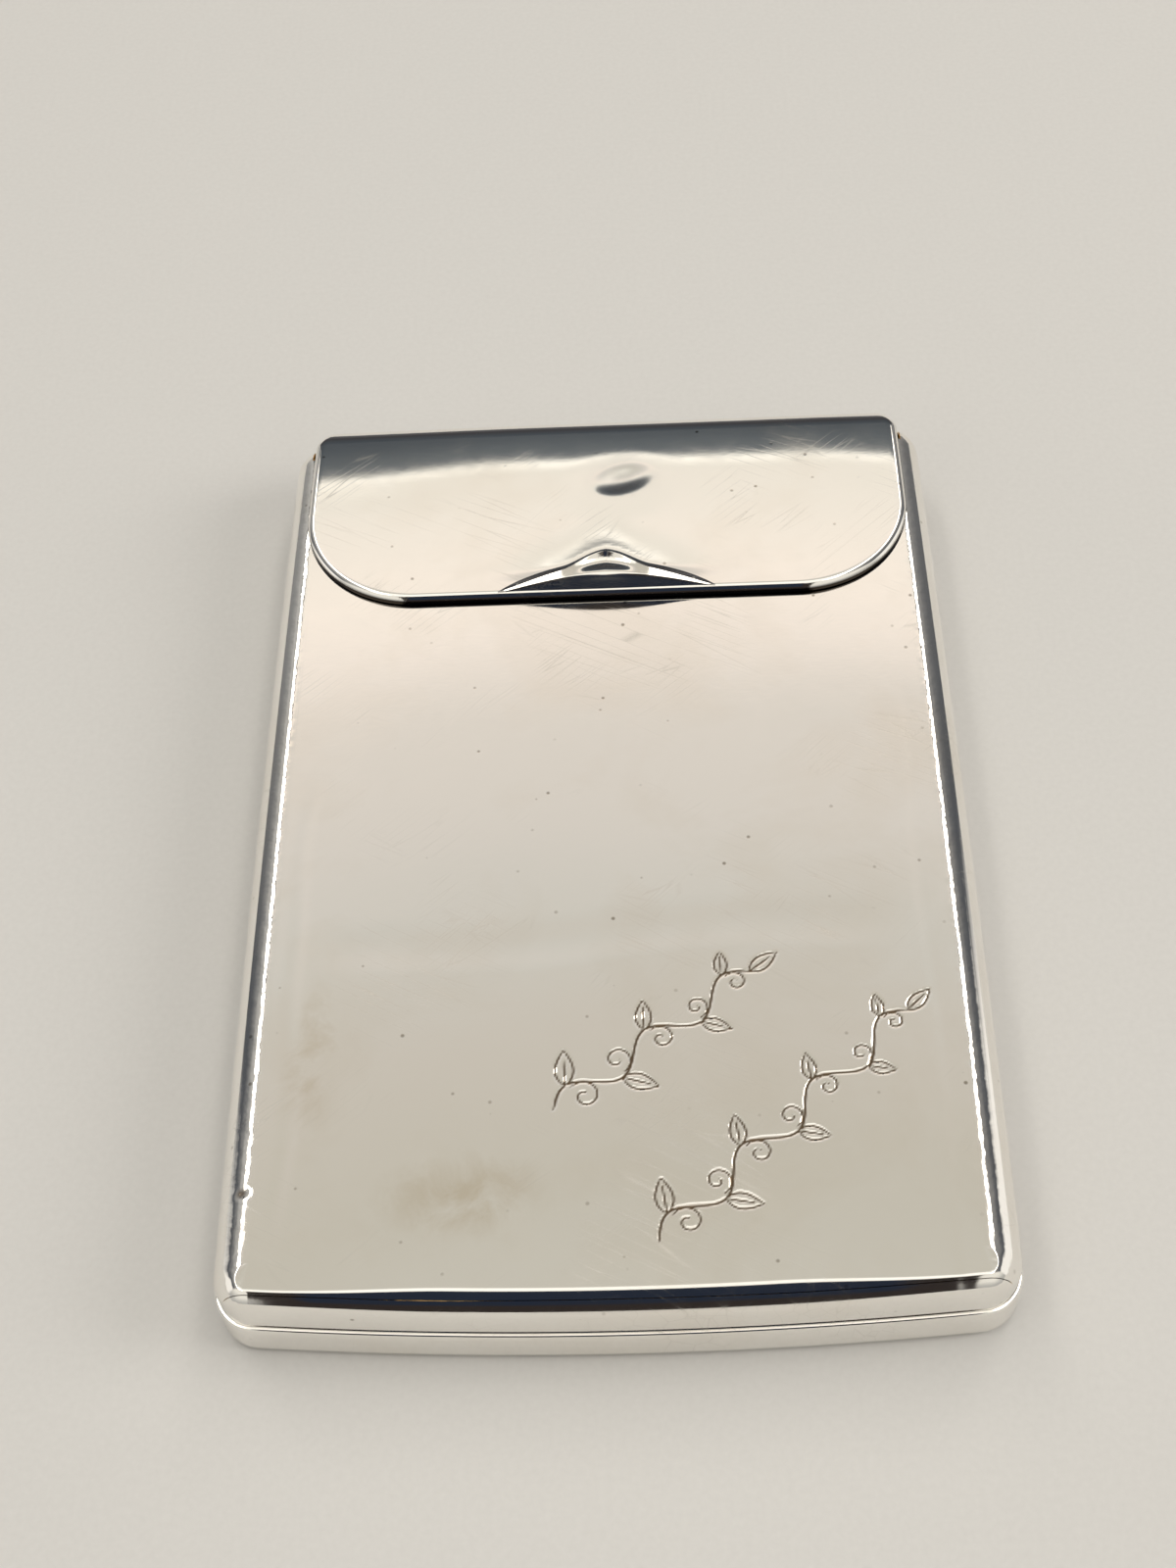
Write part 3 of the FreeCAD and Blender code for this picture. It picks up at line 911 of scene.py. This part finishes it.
def make_materials():
    silver = (0.955, 0.935, 0.895)
    tarnished = (0.70, 0.60, 0.45)
    # Near black: painted shade for the gap under the lid's flap edge, with some grime.
    brown_dirt = (0.16, 0.115, 0.075)
    shade_grime_black = (0.05, 0.04, 0.033)
    return {
        "silver": metal("polished_silver", silver, tarnished, 0.22, 0.075, 0.5, brown_dirt),
        "lid": metal("polished_silver_lid", silver, tarnished, 0.18, 0.075, 0.5, shade_grime_black),
        "gilt": metal("worn_gilt", (0.93, 0.74, 0.42), (0.80, 0.72, 0.60), 0.5, 0.20, 2.0),
        "hinge": metal("hinge_silver", (0.88, 0.86, 0.82), (0.50, 0.42, 0.32), 0.45, 0.18, 1.5),
        "wire": metal("pin_wire", (0.72, 0.71, 0.70), (0.42, 0.36, 0.30), 0.4, 0.24, 2.0),
    }


def inside_body(centre, normal):
    """Whether a face of the body's shells looks into the case. The cut along the foot seam is
    left out, because it shows from outside."""
    middle_z = 4.4
    reach_across, reach_up = 30, 4
    between = SHEET / 2 < centre.z < BODY_TOP - SHEET / 2
    seam = FOOT_Y + FOOT_SEAM_DEPTH + foot_bow(centre.x)
    outward = (centre.x * normal.x + centre.y * normal.y) / reach_across
    outward += (centre.z - middle_z) * normal.z / reach_up
    return between and outward < -0.05 and abs(centre.y - seam) > 0.1


def line_inside(piece, outside, lining):
    """Gives one of the body's shells two materials: one outside, and one on its inner faces."""
    piece.data.materials.clear()
    piece.data.materials.append(outside)
    piece.data.materials.append(lining)
    for face in piece.data.polygons:
        face.material_index = int(inside_body(Vector(face.center) / MM, face.normal))


# --- Studio -----------------------------------------------------------------------------------
def distance_from(tree, value, centre, at):
    """How far value is from centre, on either side of it."""
    shifted = maths(tree, "ADD", value, -centre, at)
    return maths(tree, "ABSOLUTE", shifted, 0.0, (at[0] + 100, at[1]))


def both(tree, first, second, at):
    """A mask that is 1 only where both masks are."""
    return maths(tree, "MULTIPLY", first, second, at)


def ceiling_colour(tree, up):
    """The colour by height: dark below the horizon, a warm ceiling that pales, bright overhead."""
    height = node(tree, "ShaderNodeValToRGB", (-700, 100))
    tree.links.new(up, height.inputs["Fac"])
    stops = [
        (0.00, (0.13, 0.13, 0.135)),
        (0.30, (0.050, 0.048, 0.052)),
        (0.56, (0.060, 0.070, 0.082)),
        (0.655, (0.15, 0.165, 0.175)),
        (0.668, (1.30, 1.24, 1.12)),
        (0.69, (0.86, 0.81, 0.72)),
        (0.715, (0.92, 0.86, 0.77)),
        (0.740, (1.02, 0.92, 0.82)),
        (0.754, (0.94, 0.85, 0.77)),
        (0.777, (0.74, 0.69, 0.63)),
        (0.81, (0.69, 0.65, 0.60)),
        (0.835, (0.62, 0.60, 0.55)),
        (0.86, (0.60, 0.56, 0.50)),
        (0.89, (0.56, 0.53, 0.46)),
        (0.925, (0.60, 0.58, 0.52)),
        (0.945, (1.15, 1.11, 1.03)),
    ]
    points = height.color_ramp.elements
    while len(points) < len(stops):
        points.new(0.5)
    for point, (place, colour) in zip(points, stops):
        point.position = place
        point.color = (*colour, 1.0)
    return height.outputs["Color"]


def add_walls(tree, sky, across, sideways):
    """Side walls, lighter on the left, that fade to dark and end in a bright patch."""
    left, right = (0.46, 0.45, 0.43), (0.25, 0.245, 0.24)
    shade, patch = (0.085, 0.09, 0.10), (0.95, 0.92, 0.87)
    walls = tint(tree, ramp(tree, across, -0.2, 0.2, (-900, -300)), left, right, (-750, -300))
    far = ramp(tree, sideways, 0.55, 0.82, (-750, -450))
    walls = tint(tree, far, walls, shade, (-600, -300))
    furthest = ramp(tree, sideways, 0.84, 0.90, (-750, -600))
    walls = tint(tree, furthest, walls, patch, (-500, -300))
    start = ramp(tree, sideways, 0.44, 0.48, (-600, -100))
    return tint(tree, start, sky, walls, (-450, 100))


def add_strips(tree, sky, sideways, up):
    """A bright strip on each side, with a thin dark line along its inner edge."""
    light, line = (3.4, 3.25, 3.0), (0.05, 0.05, 0.055)
    strip = both(tree, ramp(tree, sideways, 0.285, 0.30, (-600, -250)),
                 ramp(tree, sideways, 0.44, 0.425, (-600, -400)), (-450, -250))
    above = ramp(tree, up, 0.50, 0.58, (-600, -550))
    sky = tint(tree, both(tree, strip, above, (-300, -250)), sky, light, (-300, 100))
    edge = both(tree, ramp(tree, sideways, 0.245, 0.255, (-450, -500)),
                ramp(tree, sideways, 0.285, 0.275, (-450, -650)), (-300, -500))
    below = ramp(tree, up, 0.86, 0.80, (-450, -750))
    return tint(tree, both(tree, edge, below, (-200, -500)), sky, line, (-200, 100))


def add_front(tree, sky, along, up):
    """The side that the foot looks towards: pale, and paler higher up."""
    low, high = (0.46, 0.45, 0.425), (0.84, 0.81, 0.74)
    glow = tint(tree, ramp(tree, up, 0.10, 0.55, (-750, -900)), low, high, (-600, -900))
    start = ramp(tree, along, -0.10, -0.26, (-600, -700))
    return tint(tree, start, sky, glow, (-100, 100))


def add_cards(tree, sky, across, along, sideways):
    """Two dark cards in front of the foot: a wide brown one, and a narrow navy one over it."""
    brown, navy = (0.030, 0.024, 0.022), (0.018, 0.024, 0.040)
    wide = both(tree, ramp(tree, sideways, 0.27, 0.25, (-450, -850)),
                ramp(tree, along, -0.33, -0.36, (-450, -1000)), (-300, -850))
    sky = tint(tree, wide, sky, brown, (0, 100))
    aside = distance_from(tree, across, -0.045, (-600, -1150))
    narrow = both(tree, ramp(tree, aside, 0.165, 0.155, (-450, -1150)),
                  ramp(tree, along, -0.24, -0.255, (-450, -1300)), (-300, -1150))
    end = ramp(tree, along, -0.93, -0.88, (-450, -1450))
    return tint(tree, both(tree, narrow, end, (-150, -1150)), sky, navy, (150, 100))


def world_light():
    """The studio, painted by the direction that light comes from. The numbers are shares of a
    direction: across is its x, along its y and up its z."""
    world = bpy.data.worlds.new("studio")
    bpy.context.scene.world = world
    world.use_nodes = True
    tree = world.node_tree
    where = node(tree, "ShaderNodeTexCoord", (-1200, 0)).outputs["Generated"]
    parts = node(tree, "ShaderNodeSeparateXYZ", (-1000, 0))
    tree.links.new(where, parts.inputs["Vector"])
    across, along, up = (parts.outputs[axis] for axis in "XYZ")
    sideways = distance_from(tree, across, -0.03, (-900, -100))
    sky = ceiling_colour(tree, up)
    sky = add_walls(tree, sky, across, sideways)
    sky = add_strips(tree, sky, sideways, up)
    sky = add_front(tree, sky, along, up)
    sky = add_cards(tree, sky, across, along, sideways)
    background = tree.nodes["Background"]
    background.location = (320, 100)
    tree.nodes["World Output"].location = (520, 100)
    tree.links.new(sky, background.inputs["Color"])
    background.inputs["Strength"].default_value = 1.0


def area_light(name, at, aim, size, power, colour):
    """A rectangular lamp that lights the scene but isn't mirrored in the silver."""
    light = bpy.data.lights.new(name, "AREA")
    light.shape = "RECTANGLE"
    light.size, light.size_y = size
    light.energy = power
    light.color = colour
    lamp = add_object(name, light)
    lamp.location = at
    lamp.rotation_euler = (Vector(aim) - Vector(at)).to_track_quat("-Z", "Y").to_euler()
    lamp.visible_glossy = False


def make_floor():
    """A pale floor with a faint grain, in metres."""
    half = 1.5
    corners = [(-half, -half, 0), (half, -half, 0), (half, half, 0), (-half, half, 0)]
    mesh = bpy.data.meshes.new("floor")
    mesh.from_pydata(corners, [], [(0, 1, 2, 3)])
    floor = add_object("floor", mesh)
    material = bpy.data.materials.new("pale_floor")
    material.use_nodes = True
    tree = material.node_tree
    shader = tree.nodes["Principled BSDF"]
    where = node(tree, "ShaderNodeTexCoord", (-900, 0)).outputs["Object"]
    grain = noise(tree, where, 1800, 3, (-700, 0))
    colour = tint(tree, grain, (0.70, 0.69, 0.67), (0.76, 0.75, 0.73), (-300, 0))
    tree.links.new(colour, shader.inputs["Base Color"])
    shader.inputs["Roughness"].default_value = 0.75
    mesh.materials.append(material)


def make_camera():
    """Stands in front of the foot, above it, looking down along the case with a slight roll."""
    place = Vector((5.18, -113.16, 160.84))
    tilt, yaw, roll = math.radians(52.99), math.radians(-3.49), math.radians(-4.59)
    ahead = Vector((math.sin(yaw) * math.cos(tilt), math.cos(yaw) * math.cos(tilt), -math.sin(tilt)))
    level = Vector((math.cos(yaw), -math.sin(yaw), 0))
    upward = level.cross(ahead)
    right = math.cos(roll) * level + math.sin(roll) * upward
    top = -math.sin(roll) * level + math.cos(roll) * upward
    data = bpy.data.cameras.new("camera")
    data.lens = 50.6
    data.sensor_width = 36.0
    data.clip_start = 0.005
    camera = add_object("camera", data)
    turned = Matrix((right, top, -ahead)).transposed().to_4x4()
    camera.matrix_world = Matrix.Translation(place * MM) @ turned
    bpy.context.scene.camera = camera


# --- Assembly ---------------------------------------------------------------------------------
def place(piece, body, node_name, slot):
    """Puts a piece on its body, in the place of the CAD node that it redraws."""
    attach(piece, body)
    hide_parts(node_name)


def main():
    materials = make_materials()
    front, foot = make_front()
    back = make_back()
    lid = make_lid()
    thumb = make_thumb_piece()

    for shell in (front, foot, back):
        line_inside(shell, materials["silver"], materials["gilt"])
    lid.data.materials.append(materials["lid"])
    lid.data.materials.append(materials["gilt"])
    thumb.data.materials.append(materials["lid"])

    place(front, "case_body", "front_shell", "polished_silver")
    place(foot, "case_body", "foot_wall", "polished_silver")
    place(back, "case_body", "back_shell", "polished_silver")
    place(lid, "lid", "lid_shell", "polished_silver")
    place(thumb, "lid", "thumb_piece", "polished_silver")

    finishes = {"gilt_silver": "gilt", "hinge_silver": "hinge", "pin_wire": "wire"}
    for part in frame["record"]["subparts"]:
        if part["material_slot"] in finishes:
            mesh = frame["nodes"][part["node"]].data
            mesh.materials.clear()
            mesh.materials.append(materials[finishes[part["material_slot"]]])

    make_camera()
    make_floor()
    world_light()
    area_light("soft_side", (1.5, -0.1, 0.9), (0, 0, 0), (0.8, 0.8), 9.0, (1.0, 0.96, 0.91))
    bpy.context.scene.view_settings.view_transform = "Standard"


main()
